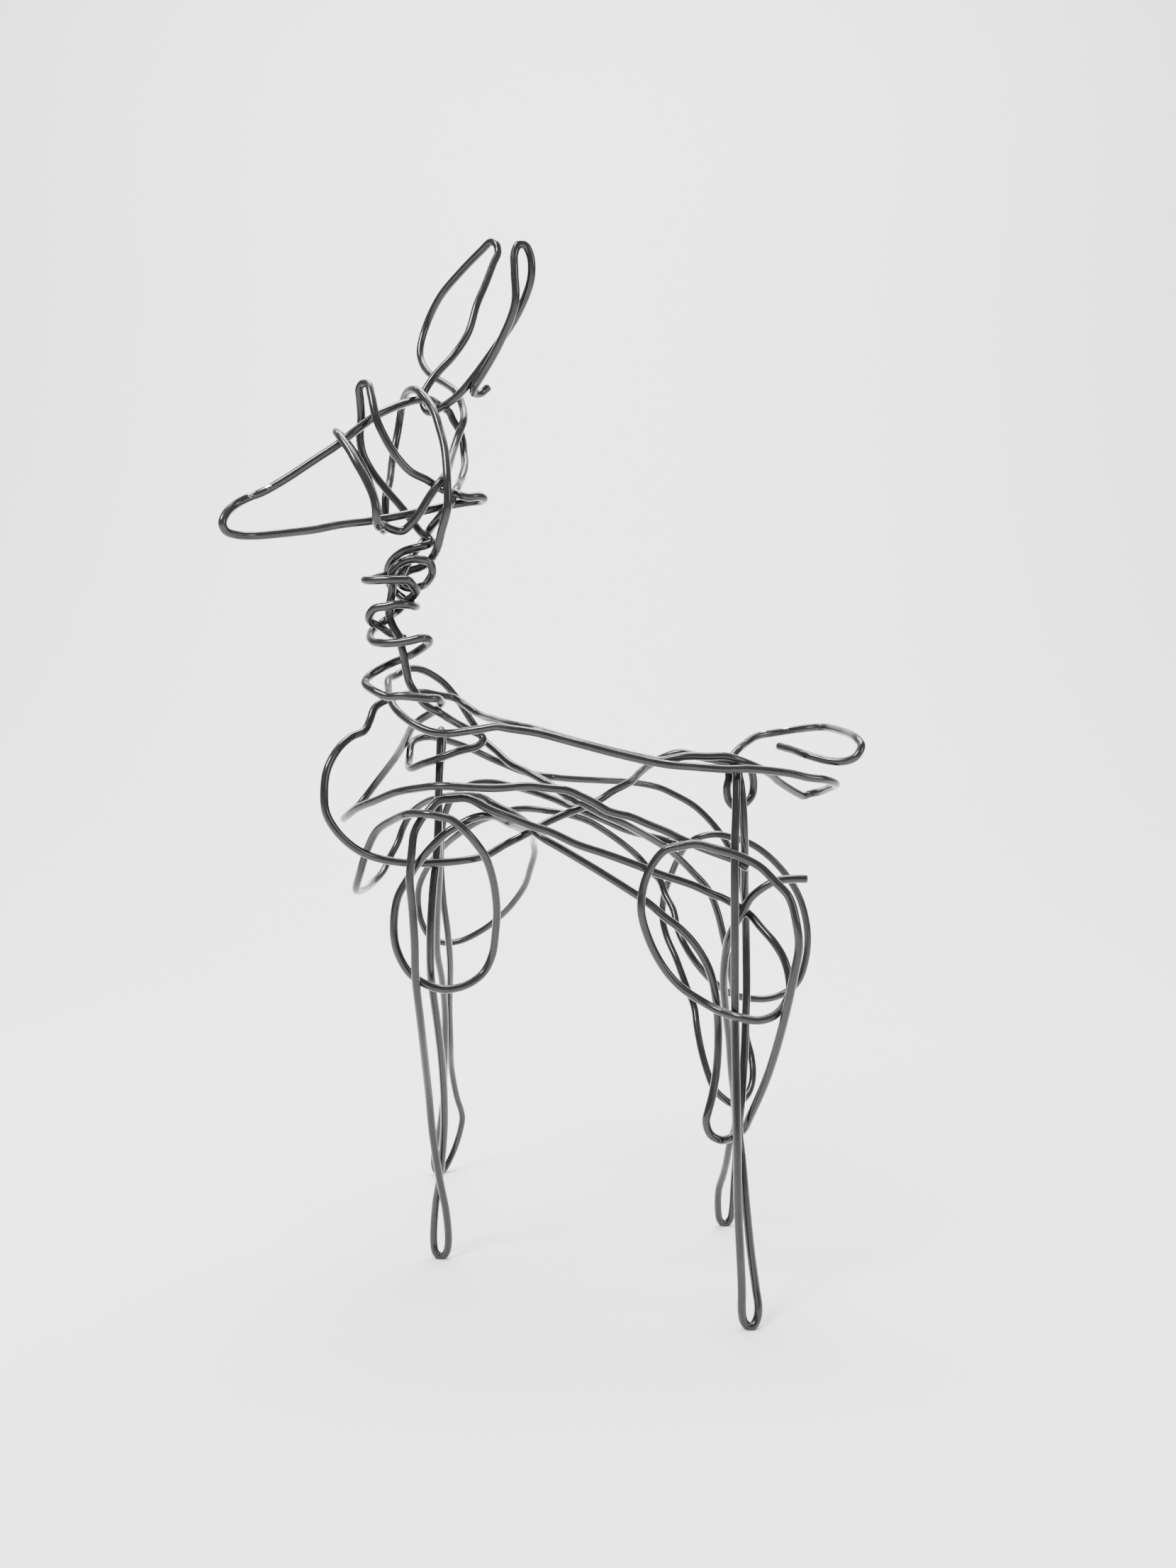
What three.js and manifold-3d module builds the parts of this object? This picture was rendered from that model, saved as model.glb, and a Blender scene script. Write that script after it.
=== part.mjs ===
// A deer standing on its four feet, drawn in the air with three lengths of black-coated wire.
// Millimetres, +Z up. The deer faces -X, its near side faces -Y, and it stands on z = 0.
import * as THREE from 'three';
import { mergeVertices } from 'three/addons/utils/BufferGeometryUtils.js';
import Module from 'manifold-3d';

const WIRE_DIAMETER = 2.0;
const SECTION_SIDES = 6;        // faces round the wire
const LONGEST_STEP = 15;        // between two sections on a straight run
const WIDEST_TURN = 0.6;        // radians between two sections in a bend
const WALK_STEPS_PER_BEND = 24; // fine walk along the spline that places the sections
const FLOOR_BLOCK = 400;        // side of the block that trims the feet flat
const FLOOR_LEVEL = 3.7;        // height of the floor in the lists of bend points below
const FOOT_HEIGHT = FLOOR_LEVEL + 0.7; // centre line of the wire at a foot, before it is trimmed flat

// Each list below is one stretch of a wire, as the bend points of its centre line in order.
// x runs to the tail, y to the far side and z up.

const NEAR_EAR = [
  [-25, -13.5, 228], [-27, -14.5, 226], [-28.5, -16.5, 225.5], [-28, -18.5, 226.5], [-26, -20, 229],
  [-21.5, -24, 235], [-17.5, -28, 243], [-17.5, -29.5, 250], [-17.5, -29.5, 254.5], [-16.5, -29.5, 256.5],
  [-15, -29, 256.5], [-14, -28.5, 255], [-13.5, -28, 252.5], [-14, -26.5, 248.5], [-17.5, -23, 242], [-23.5, -19, 235], [-29, -17, 228.5], [-32.5, -16, 225],
];

const FAR_EAR = [
  [-36.5, -15, 222.5], [-40, -14, 221.5], [-41.5, -13, 223.5], [-41.5, -12.5, 226.5], [-39, -12, 231],
  [-34, -12, 236.5], [-30.5, -10, 243], [-28.5, -8, 251], [-26.5, -6, 257], [-24.5, -4, 263.5],
  [-23.5, -3, 266.5], [-24, -2.5, 269], [-25.5, -1.5, 270], [-28, 0, 268.5], [-34, 4, 264.5], [-40, 8, 259.5],
  [-44, 10, 252.5], [-45.5, 9, 245.5], [-44.5, 7, 241], [-41.5, 3, 236.5], [-37, -2, 232.5],
];

const BACK_OF_HEAD = [
  [-34, -6, 229], [-32, -9, 224], [-31.5, -12, 220], [-32.5, -14, 216], [-33.5, -18, 210.5],
  [-34, -25, 204], [-34.5, -31.5, 200], [-37, -32, 196.5], [-41, -31.5, 190.5], [-44, -31, 188],
  [-46.5, -33, 188],
];

const MUZZLE_RING = [
  [-48, -35, 188.5], [-48.5, -37.5, 187.5], [-48.5, -40, 188.5], [-48.5, -41, 191], [-49, -41, 193.5],
  [-51, -41, 198], [-53, -40.5, 201.5], [-55, -39, 205], [-57.5, -37, 208.5], [-59, -34, 210.5],
  [-58.5, -31, 210.5], [-56.5, -28.5, 208], [-54.5, -28, 205], [-53, -27, 201.5], [-52, -26, 198.5],
  [-51, -25.5, 195], [-50.5, -25.5, 192], [-50, -24, 190], [-50, -22, 190], [-50, -20.5, 192],
  [-50, -19.5, 195.5],
];

const BROW = [
  [-50, -19, 199], [-49.5, -16, 203.5], [-49.5, -12, 210], [-48.5, -10, 217.5], [-47.5, -11, 222.5],
  [-46.5, -13.5, 224.5], [-45, -17, 225.5], [-43, -20.5, 225], [-41, -23, 223.5], [-39, -24.5, 221],
  [-37, -26.5, 217.5], [-35.5, -28.5, 213], [-34, -31, 207.5], [-33, -34, 199], [-33, -34, 192.5],
];

const NAPE = [
  [-34.5, -32, 188], [-36, -29.5, 184], [-38.5, -26, 181.5], [-41, -24, 180.5], [-43.5, -23, 180],
  [-46, -23.5, 178.5], [-49, -27, 178],
];

const NECK_COILS = [
  [-51.5, -30.5, 176.5], [-52.5, -33, 176], [-51, -35, 175.5], [-47, -36, 175.5], [-44, -36, 175.5],
  [-42, -35.5, 175.5], [-41, -34, 174.5], [-40.5, -32, 173.5], [-41.5, -31, 172.5], [-43, -30.5, 171.5],
  [-45, -28, 170], [-47.5, -24.5, 169], [-49, -23.5, 168], [-51, -24, 166.5], [-52, -26, 165],
  [-52, -29, 163], [-50.5, -32, 161.5], [-48, -34, 161], [-44.5, -35, 161], [-41, -35.5, 161.5],
  [-39, -35.5, 162], [-37.5, -34, 162], [-37.5, -32, 161.5], [-38.5, -30, 161], [-42, -26, 159.5], [-45, -23.5, 158.5],
  [-47.5, -23.5, 157.5], [-50, -25, 156], [-52.5, -27, 154], [-53, -30, 152], [-50.5, -33, 150],
  [-47, -34.5, 148.5], [-43.5, -35.5, 148.5], [-38, -35.5, 148], [-35.5, -34, 148], [-35, -29.5, 147.5],
  [-36, -24.5, 147], [-37.5, -21.5, 146], [-39.5, -19.5, 145],
];

const CHEST_POINT = [
  [-41.5, -18, 144], [-44, -14.5, 142.5], [-46.5, -9, 139.5], [-50.5, -1, 135], [-56.5, 5, 128.5],
  [-61, 4, 122.5], [-63, -1, 120], [-63, -6, 119], [-61, -11, 120], [-57.5, -16, 122],
  [-52, -21, 124], [-46.5, -25, 126],
];

const NEAR_SIDE_LINE = [
  [-40.5, -29, 127], [-35, -32, 127.5], [-22, -31.5, 127], [-14, -30, 127.5], [-9.5, -29.5, 127],
  [-5, -29, 126.5], [-1.5, -28.5, 125], [1.5, -28, 123.5], [5, -27.5, 121.5], [10.5, -26.5, 120],
  [14, -26, 118.5], [19, -27, 116.5], [22, -28, 115], [26.5, -29, 113], [30.5, -30, 111.5],
  [34.5, -30.5, 110], [38, -31, 108],
];

const NECK_THROAT = [
  [-44.5, -22, 163.5], [-46, -22.5, 164], [-48, -25, 164.5], [-49.5, -27.5, 165.5], [-50.5, -29.5, 166],
  [-51.5, -31.5, 166.5], [-51.5, -33, 167.5], [-50, -34.5, 169], [-47, -35, 169.5], [-44.5, -35, 170],
  [-42.5, -34, 170], [-41, -31.5, 170], [-41, -28.5, 170.5], [-42.5, -26, 171.5], [-44, -24.5, 172.5],
  [-46, -23.5, 174], [-47.5, -22.5, 175.5], [-48.5, -22.5, 177], [-49, -22.5, 179.5], [-48, -24.5, 181.5],
  [-46, -26.5, 183], [-43.5, -28, 184], [-41, -28.5, 184.5], [-39, -28.5, 185], [-37.5, -27, 186],
  [-38, -25, 187], [-40, -24.5, 188.5], [-42.5, -23.5, 191.5],
];

const FOREHEAD_LOOP = [
  [-45.5, -23.5, 195.5], [-49, -23.5, 199.5], [-52.5, -24, 204], [-54.5, -25, 208], [-55, -26, 212],
  [-54.5, -27, 216], [-54.5, -28.5, 220], [-54.5, -29.5, 222], [-53.5, -30.5, 223], [-52, -31.5, 222.5],
  [-51, -33, 219.5], [-49.5, -34.5, 213.5], [-47.5, -34, 209], [-45, -33, 205], [-42, -31, 202],
  [-38.5, -29.5, 200.5], [-35, -28.5, 198.5], [-31.5, -30.5, 197], [-28.5, -31, 196], [-26, -29.5, 196.5],
];

const MUZZLE = [
  [-25, -27.5, 196.5], [-26, -25, 196.5], [-28.5, -24, 196.5], [-32.5, -23.5, 196], [-39, -26, 194], [-45.5, -28.5, 192],
  [-52, -30, 190.5], [-58.5, -31, 189.5], [-65, -32, 188], [-71.5, -33, 187], [-77.5, -35, 186],
  [-81, -38, 185.5], [-83, -40, 186], [-83.5, -41, 187.5], [-83, -40, 190], [-81.5, -38, 192.5],
  [-79, -36.5, 194.5], [-76, -35.5, 196], [-71, -35, 199], [-64.5, -34.5, 203.5], [-59.5, -34, 207],
  [-56.5, -33.5, 209.5], [-53.5, -32, 212.5], [-50.5, -30, 215.5], [-47.5, -27.5, 218], [-44.5, -24, 220.5],
  [-41.5, -19, 223], [-39.5, -16, 224],
];

const CHEEK_TO_KNOT = [
  [-37.5, -11, 224], [-35.5, -9.5, 223], [-34.5, -9, 221], [-32.5, -9, 217.5], [-31.5, -11, 212],
  [-31, -14, 208], [-31.5, -19, 203], [-32, -25, 199], [-33, -27.5, 195.5], [-35.5, -26.5, 192.5],
  [-38, -24, 190.5], [-39.5, -21.5, 189], [-40.5, -21, 187.5], [-41.5, -23, 185.5], [-42.5, -25.5, 183],
  [-43.5, -28, 180.5],
];

const THROAT_LOOP = [
  [-44.5, -28.5, 178.5], [-45.5, -27.5, 177], [-45, -25.5, 176], [-43, -24, 175.5], [-40, -25, 176],
  [-38, -28, 177], [-37, -30, 178.5], [-37.5, -31, 180.5], [-39.5, -32, 181], [-42, -32, 181],
  [-44.5, -32, 180], [-46, -32, 178.5], [-46.5, -31.5, 177], [-46.5, -30, 175.5], [-47, -29, 172.5],
];

const SPINE = [
  [-47.5, -28.5, 170.5], [-47.5, -28, 168], [-46.5, -28, 165.5], [-45, -28.5, 163], [-44.5, -28.5, 160.5],
  [-44, -28, 158], [-43.5, -27.5, 155], [-43, -27, 152.5], [-41.5, -27, 150], [-39, -27.5, 147],
  [-35.5, -26.5, 145], [-31.5, -21, 142.5], [-28.5, -18, 141], [-26.5, -18, 140], [-26, -18.5, 139],
  [-27, -19.5, 137.5],
];

const SHOULDER_BLADE = [
  [-32, -20.5, 136], [-37.5, -20, 134], [-41, -18, 133], [-44, -15, 132], [-45.5, -11, 132.5],
  [-46, -6, 135.5], [-46, -3, 138.5], [-44.5, 0, 140], [-42, 2, 140.5], [-39, 5, 140],
  [-33, 12, 138], [-25.5, 16, 134.5], [-16.5, 15, 131],
];

const FAR_BACK_LINE = [
  [-10.5, 14, 130], [-6, 18, 129.5], [4, 25, 129], [12.5, 29, 128.5], [20.5, 32, 127],
  [25, 32, 125], [31, 32, 121.5], [36.5, 31, 116], [40, 30, 111], [43, 29, 104.5],
  [45, 28, 93.5], [45.5, 27, 80.5], [45, 25, 68.5], [44.5, 21, 57.5],
];

const FAR_HOCK = [
  [45.5, 18, 52], [45.5, 15, 48], [44.5, 12, 45], [42.5, 9, 43], [39, 7, 42],
  [36.5, 6, 43.5], [34, 6, 46], [32.5, 8, 49.5], [31, 11, 55],
];

const FAR_HAUNCH = [
  [30, 14, 61], [29.5, 17, 66], [27.5, 20, 71.5], [25, 24, 78.5], [22.5, 28, 84.5],
  [21.5, 30, 89.5], [22, 30, 96], [23.5, 28, 101], [25.5, 25, 106.5], [27.5, 21, 110.5],
  [30.5, 18, 113], [35.5, 17, 114], [40.5, 17, 113], [45, 17, 111.5], [49.5, 17, 108.5],
  [54, 17, 104], [58, 17, 98], [60, 17, 92.5], [61, 17, 86], [60.5, 17, 79.5],
  [58.5, 17, 73.5], [55.5, 17, 70.5], [50.5, 17, 68.5], [44.5, 17, 68.5], [39.5, 16, 70],
  [34, 14, 74], [30, 13, 78.5], [27, 15, 83], [25, 18, 87.5], [24, 21, 92.5],
  [22, 24, 96.5], [20.5, 26, 100.5],
];

const FAR_BELLY_LINE = [
  [18, 27, 103], [14.5, 28, 107], [10.5, 27, 110.5], [5, 26, 114.5], [0, 24, 117.5],
  [-6, 22, 119.5], [-12, 23, 120.5], [-18, 25, 121], [-22, 27, 120.5], [-26.5, 29, 119],
];

const FAR_SHOULDER = [
  [-32, 33, 117], [-38.5, 38, 113], [-44, 44, 108.5], [-49, 50, 102.5], [-52, 53, 96.5],
  [-52.5, 54, 91], [-51.5, 54, 85.5], [-49, 54, 81], [-45, 54, 79], [-39.5, 54, 79.5],
  [-32.5, 53, 83], [-28, 51, 86.5], [-23.5, 47, 91], [-19, 42, 97.5], [-17, 36, 103],
  [-15.5, 30, 108], [-15.5, 22, 112], [-15, 8, 114.5], [-16.5, -6, 116], [-18.5, -15, 117.5],
  [-20, -20.5, 118.5],
];

const NEAR_SHOULDER = [
  [-21, -24, 119.5], [-23.5, -28.5, 120.5], [-27, -31, 120], [-31, -31.5, 118], [-34, -32, 116],
  [-37.5, -32, 112.5], [-40.5, -30, 109], [-43, -28, 105.5], [-45.5, -28, 101], [-46.5, -28, 95],
  [-46, -28, 89], [-43.5, -27.5, 83.5], [-41, -27, 81], [-37, -26.5, 79], [-33.5, -26, 78.5],
  [-29, -24.5, 79.5], [-25.5, -22.5, 82], [-23.5, -22, 86], [-22.5, -23.5, 92], [-22, -26, 97.5],
  [-22.5, -29.5, 104.5], [-24, -33, 110.5], [-26, -35, 114], [-28.5, -36, 117], [-31.5, -36, 119.5],
  [-34.5, -36, 120.5], [-38, -35.5, 121], [-42, -33, 121], [-46.5, -28, 119.5],
];

const ELBOW = [
  [-51.5, -23, 116.5], [-54.5, -20, 111.5], [-56.5, -18, 106], [-58.5, -13, 101.5], [-58.5, -4, 100.5],
  [-58.5, 8, 101], [-56.5, 15, 104], [-55.5, 18, 107], [-53.5, 21, 111.5], [-52, 22, 116],
  [-49.5, 21, 120], [-45, 17, 123], [-39.5, 11, 124.5], [-34, 4, 125], [-27.5, -4, 124.5],
  [-23.5, -9, 122.5],
];

const NEAR_BELLY_LINE = [
  [-19, -12.5, 120.5], [-15.5, -18, 118.5], [-12, -23, 115.5], [-5, -25, 111.5], [3.5, -27, 106.5],
  [10, -28.5, 102.5], [14.5, -29, 99.5], [18, -29, 96.5], [22.5, -29, 93], [26, -29, 89],
  [29, -29, 83.5], [30.5, -29, 77], [31, -29, 71.5], [31, -29.5, 66], [30.5, -30, 59.5],
];

const NEAR_HOCK = [
  [29.5, -30.5, 54], [28.5, -31, 50.5], [28, -31, 48], [29, -31, 45], [31.5, -30.5, 43.5],
  [34, -29, 43.5], [37, -29, 45.5], [38.5, -31, 49.5], [41.5, -34, 58],
];

const NEAR_HAUNCH = [
  [43.5, -37, 66], [45.5, -40, 76], [47, -41.5, 84.5], [48, -42, 91], [47.5, -42, 96],
  [46, -41, 102], [43, -40, 105.5], [39.5, -38.5, 109], [34.5, -38, 111.5], [29.5, -37, 113],
  [25.5, -36, 114], [21.5, -35.5, 113.5], [18, -35, 112.5], [15, -34.5, 109], [13, -34, 104],
  [12.5, -34, 98], [14.5, -33, 91], [18, -32, 84.5], [22, -32, 80], [26.5, -32.5, 77],
  [30.5, -34.5, 75], [35, -37.5, 74], [39.5, -38.5, 73.5], [43, -38, 74.5], [45.5, -36.5, 76.5],
  [47, -35.5, 79.5], [47, -34.5, 83], [46, -33, 87], [44, -31.5, 90.5], [41.5, -29, 93.5],
  [39, -26.5, 96.5],
];

const NEAR_FLANK_LINE = [
  [36, -26, 98.5], [32.5, -26.5, 100.5], [30, -27, 101.5], [24.5, -28, 104], [17, -28.5, 106.5],
  [10.5, -28.5, 109], [3.5, -28, 111.5], [-2.5, -28, 113.5], [-9, -28, 116.5], [-13.5, -28.5, 118],
  [-18.5, -29.5, 120], [-23.5, -31, 122], [-28.5, -30.5, 124.5], [-32, -30, 124.5], [-35.5, -30, 124],
  [-37.5, -31, 122], [-39.5, -31.5, 119.5],
];

const NEAR_FRONT_LEG = [
  [-41, -32, 116.5], [-41.5, -32.5, 112.5], [-42, -32.5, 105.5], [-41.5, -32, 99], [-41, -31.5, 90.5],
  [-41, -30, 82], [-40.5, -25.5, 71], [-40.5, -17, 58.5], [-40.5, -10, 48], [-40, -7, 38],
  [-38.5, -4.5, 25.5], [-37, -3, 16.5], [-36.5, -2, 8.5], [-37, -2, 5.5], [-38, -1.5, FOOT_HEIGHT],
  [-39, -1.5, FOOT_HEIGHT], [-40, -1.5, 5.5], [-40.5, -1, 8.5], [-40, -1, 17.5], [-39, -1, 24], [-37.5, -3.5, 37],
  [-37, -7, 46.5], [-37, -12, 57.5], [-37.5, -18, 69.5], [-38.5, -21.5, 81.5], [-38.5, -22, 92.5],
  [-38, -21, 103], [-37.5, -20, 108.5], [-37, -19.5, 117], [-37, -18, 127], [-37, -16, 134.5],
  [-37, -15, 138.5],
];

const FAR_FRONT_LEG = [
  [-37, -14.5, 140.5], [-37, -13.5, 141.5], [-37, -12, 141.5], [-37, -11, 140.5], [-37, -10.5, 138], [-37.5, -9.5, 134.5], [-38.5, -7, 127], [-39.5, 2, 117],
  [-40.5, 11, 106], [-42.5, 22, 91], [-43.5, 30, 79], [-43, 36, 71], [-43, 44, 59],
  [-44, 51, 42], [-45, 56, 30], [-47, 60.5, 18], [-49, 64.5, 9.5], [-49, 65, 6.5],
  [-48.5, 65, 5], [-47.5, 65.5, FOOT_HEIGHT], [-46.5, 66, FOOT_HEIGHT], [-45.5, 66.5, 5.5], [-43, 68.5, 10.5], [-41, 69, 17],
  [-40.5, 69, 21], [-42, 66, 28.5], [-43, 61.5, 38], [-42.5, 54, 48], [-42, 47, 60.5], [-40.5, 36, 75], [-40.5, 30, 85],
  [-41.5, 27, 95.5], [-42, 26, 106], [-41.5, 26, 116], [-39.5, 25, 122.5],
];

const FAR_SIDE_LINE = [
  [-36.5, 24, 126], [-32.5, 22, 128], [-27.5, 20, 128.5], [-21.5, 17, 127.5], [-14, 12, 125.5],
  [-9.5, 9, 124], [-4.5, 6, 122], [4, 4, 118.5], [9.5, 4, 116], [14.5, 5, 114.5],
  [21, 5, 113], [24, 4, 112.5],
];

const TAIL = [
  [47.5, -16, 137.5], [50, -20, 136.5], [53, -25, 135], [58, -28, 133.5], [61.5, -30, 133.5],
  [63.5, -31, 134.5], [65, -30, 137], [64.5, -27, 139], [63, -19, 141], [59.5, -10, 142.5],
  [54, -11, 142], [47.5, -12, 141], [42.5, -14, 140], [39, -17, 138], [37, -20, 136.5],
];

const RUMP_RING = [
  [35.5, -22, 135], [34, -25, 132], [34, -26, 129.5], [33.5, -26, 127], [34, -25.5, 124],
  [35.5, -25, 122.5], [38, -23, 123], [40, -22, 125], [40.5, -22, 127.5], [40, -23, 130.5],
  [39, -24.5, 132.5], [37.5, -26.5, 133], [36, -28, 132],
];

const NEAR_HIND_LEG = [
  [36, -28.5, 130.5], [36.5, -29, 127.5], [37, -29, 122], [37.5, -28, 113], [38, -24.5, 103],
  [38.5, -22.5, 94.5], [38.5, -24, 77.5], [38, -26, 71], [37.5, -28, 64.5], [36.5, -31, 55],
  [35.5, -33, 47], [36, -35, 40], [37.5, -38, 21], [38.5, -39.5, 12.5], [39, -40.5, 8],
  [38.5, -41, 5.5], [37.5, -41.5, FOOT_HEIGHT], [36.5, -41.5, FOOT_HEIGHT], [35.5, -41.5, 5.5],
  [35, -42, 8], [35, -42, 13],
  [34.5, -39.5, 31], [34.5, -37.5, 47], [34.5, -34, 72.5],
  [34.5, -33.5, 95.5], [34.5, -33.5, 112.5], [35, -32.5, 127], [35, -31, 131.5], [34, -30, 133],
];

const LOWER_BACK_LINE = [
  [31.5, -29.5, 133.5], [26.5, -28.5, 134.5], [22, -27.5, 135.5], [18.5, -26.5, 134.5],
  [15.5, -24, 133], [13, -19, 131], [10.5, -14, 128.5], [6, -11, 126], [3, -10.5, 124],
  [-1.5, -11, 122], [-5.5, -12, 120.5], [-11, -14, 118], [-15.5, -17, 115.5], [-20.5, -20, 113],
  [-25, -22.5, 110.5],
];

const BREAST = [
  [-30, -24.5, 109.5], [-36, -25.5, 109], [-44, -26, 109], [-50, -27, 110], [-54.5, -29, 112],
  [-59, -30.5, 116], [-62, -31, 121], [-62.5, -31, 126.5], [-62, -30, 131.5], [-60, -27, 136.5],
  [-57.5, -23.5, 139.5], [-55, -21, 141], [-54, -19, 143.5], [-53, -17, 147], [-50.5, -15, 149],
];

const WITHERS = [
  [-46.5, -12, 150.5], [-42.5, -8, 151.5], [-38.5, -4, 151], [-35, -1.5, 150.5], [-29, -5, 146.5],
  [-23, -16, 144], [-18.5, -24, 142.5],
];

const BACK_LINE = [
  [-12.5, -29, 141], [-2.5, -31, 138], [7, -31, 135.5], [14, -31, 134], [17, -31.5, 133.5],
  [20, -32, 134], [23, -32.5, 134.5], [28.5, -33, 134.5], [32.5, -33, 134.5], [36, -32, 133.5],
  [39, -30, 132.5], [44, -25, 130.5], [47, -21, 128.5], [53, -14, 125.5],
];

const RUMP_POINT = [
  [54.5, -12.5, 125], [56, -12.5, 125.5], [58, -14, 126], [59.5, -19, 127], [60, -25, 128],
  [56.5, -30, 129], [52, -32, 129.5], [47.5, -33, 130.5],
];

const UPPER_BACK_LINE = [
  [38, -34.5, 131.5], [31.5, -35, 131.5], [25, -35, 132], [19, -34.5, 132.5], [13.5, -34, 133.5],
  [7, -34, 135], [-2.5, -34, 137.5], [-12, -33.5, 140], [-18.5, -33, 141], [-21.5, -32.5, 141.5],
  [-25, -32, 141], [-28.5, -31.5, 140.5], [-33, -30.5, 140], [-37.5, -29, 140.5], [-42, -27, 142.5],
];

const SHOULDER_TOP = [
  [-45.5, -24.5, 145], [-47.5, -22, 147], [-49, -19, 149.5], [-50, -15, 152], [-50.5, -11.5, 154.5], [-49, -8, 156],
  [-47, -6, 157.5], [-45, -4, 158], [-42.5, -2, 157.5], [-38.5, 1, 155], [-35.5, 4, 151.5],
  [-33.5, 5.5, 148.5], [-32, 6, 146], [-30, 6, 143],
];

const INNER_SIDE_LINE = [
  [-27.5, 4, 139.5], [-24, 1, 136.5], [-20.5, -2, 133.5], [-15.5, -5, 131], [-10, -8, 128],
  [-5.5, -12, 125], [-1, -15, 123], [3.5, -14, 120.5], [9, -10, 118], [16, -2, 114],
  [21.5, 4, 110.5], [24.5, 7, 108], [28, 9, 104.5], [32.5, 9.5, 99.5], [35, 9, 93.5],
];

const FAR_HIND_LEG = [
  [37, 8.5, 85], [39, 9, 75], [40.5, 12, 63], [41, 16, 46.5], [41.5, 18.5, 30.5],
  [41, 21, 16], [40.5, 21.5, 7.5], [40, 21.5, 5.5], [39, 21.5, FOOT_HEIGHT], [38, 21.5, FOOT_HEIGHT], [37, 21, 5.5],
  [36.5, 20.5, 8.5], [36.5, 19, 14.5], [37.5, 16, 20], [38, 13, 24.5], [38.5, 9.5, 30.5],
  [39.5, 7, 35.5], [38.5, 0, 45],
  [37, -6, 54], [36, -10, 62.5], [34.5, -15, 71.5], [33.5, -19, 79], [33.5, -23, 86.5],
  [34, -26, 91],
];

const HIP = [
  [35.5, -28.5, 95], [37, -29, 97.5], [38.5, -29.5, 100.5], [41, -30.5, 103], [44.5, -31, 105],
  [48.5, -31, 105.5], [52, -31, 105.5],
];

const HEAD_AND_NECK_ROUTE = [
  ...NEAR_EAR, ...FAR_EAR, ...BACK_OF_HEAD, ...MUZZLE_RING, ...BROW, ...NAPE, ...NECK_COILS,
  ...CHEST_POINT, ...NEAR_SIDE_LINE,
];

const MUZZLE_AND_LEGS_ROUTE = [
  ...NECK_THROAT, ...FOREHEAD_LOOP, ...MUZZLE, ...CHEEK_TO_KNOT, ...THROAT_LOOP, ...SPINE,
  ...SHOULDER_BLADE, ...FAR_BACK_LINE, ...FAR_HOCK, ...FAR_HAUNCH, ...FAR_BELLY_LINE,
  ...FAR_SHOULDER, ...NEAR_SHOULDER, ...ELBOW, ...NEAR_BELLY_LINE, ...NEAR_HOCK, ...NEAR_HAUNCH,
  ...NEAR_FLANK_LINE, ...NEAR_FRONT_LEG, ...FAR_FRONT_LEG, ...FAR_SIDE_LINE,
];

const BACK_AND_TAIL_ROUTE = [
  ...TAIL, ...RUMP_RING, ...NEAR_HIND_LEG, ...LOWER_BACK_LINE, ...BREAST, ...WITHERS, ...BACK_LINE,
  ...RUMP_POINT, ...UPPER_BACK_LINE, ...SHOULDER_TOP, ...INNER_SIDE_LINE, ...FAR_HIND_LEG, ...HIP,
];

// The centre line of a wire: a smooth curve through its bend points. Evenly spaced values of u give
// sections that lie close together in a bend and far apart on a straight run.
class WireCentreLine extends THREE.Curve {
  constructor(route) {
    super();
    const bendPoints = route.map(([x, y, z]) => new THREE.Vector3(x, y, z));
    this.spline = new THREE.CatmullRomCurve3(bendPoints, false, 'centripetal');
    const walkSteps = WALK_STEPS_PER_BEND * (route.length - 1);
    this.walked = [0];
    let lastPoint = this.spline.getPoint(0);
    let lastTangent = this.spline.getTangent(0);
    for (let step = 1; step <= walkSteps; step += 1) {
      const point = this.spline.getPoint(step / walkSteps);
      const tangent = this.spline.getTangent(step / walkSteps);
      const share = point.distanceTo(lastPoint) / LONGEST_STEP + tangent.angleTo(lastTangent) / WIDEST_TURN;
      this.walked.push(this.walked.at(-1) + share);
      lastPoint = point;
      lastTangent = tangent;
    }
    this.sections = Math.ceil(this.walked.at(-1));
  }

  parameterAt(u) {
    const wanted = u * this.walked.at(-1);
    let low = 0;
    let high = this.walked.length - 1;
    while (high - low > 1) {
      const middle = (low + high) >> 1;
      if (this.walked[middle] <= wanted) low = middle;
      else high = middle;
    }
    const within = (wanted - this.walked[low]) / (this.walked[high] - this.walked[low]);
    return Math.min(1, (low + within) / (this.walked.length - 1));
  }

  getPointAt(u, target) {
    return this.spline.getPoint(this.parameterAt(u), target);
  }

  getTangentAt(u, target) {
    return this.spline.getTangent(this.parameterAt(u), target);
  }
}

function wireSection() {
  const section = new THREE.Shape();
  for (let side = 0; side < SECTION_SIDES; side += 1) {
    const angle = (2 * Math.PI * side) / SECTION_SIDES;
    const corner = new THREE.Vector2(Math.cos(angle), Math.sin(angle)).multiplyScalar(WIRE_DIAMETER / 2);
    if (side === 0) section.moveTo(corner.x, corner.y);
    else section.lineTo(corner.x, corner.y);
  }
  section.closePath();
  return section;
}

function toSolid(wasm, geometry) {
  const bare = geometry.clone();
  bare.deleteAttribute('normal');
  bare.deleteAttribute('uv');
  const merged = mergeVertices(bare);
  return new wasm.Manifold(new wasm.Mesh({
    numProp: 3,
    vertProperties: Float32Array.from(merged.attributes.position.array),
    triVerts: Uint32Array.from(merged.index.array),
  }));
}

function toGeometry(solid) {
  const mesh = solid.getMesh();
  const geometry = new THREE.BufferGeometry();
  geometry.setAttribute('position', new THREE.BufferAttribute(mesh.vertProperties, 3));
  geometry.setIndex(new THREE.BufferAttribute(mesh.triVerts, 1));
  geometry.computeVertexNormals();
  return geometry;
}

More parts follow.
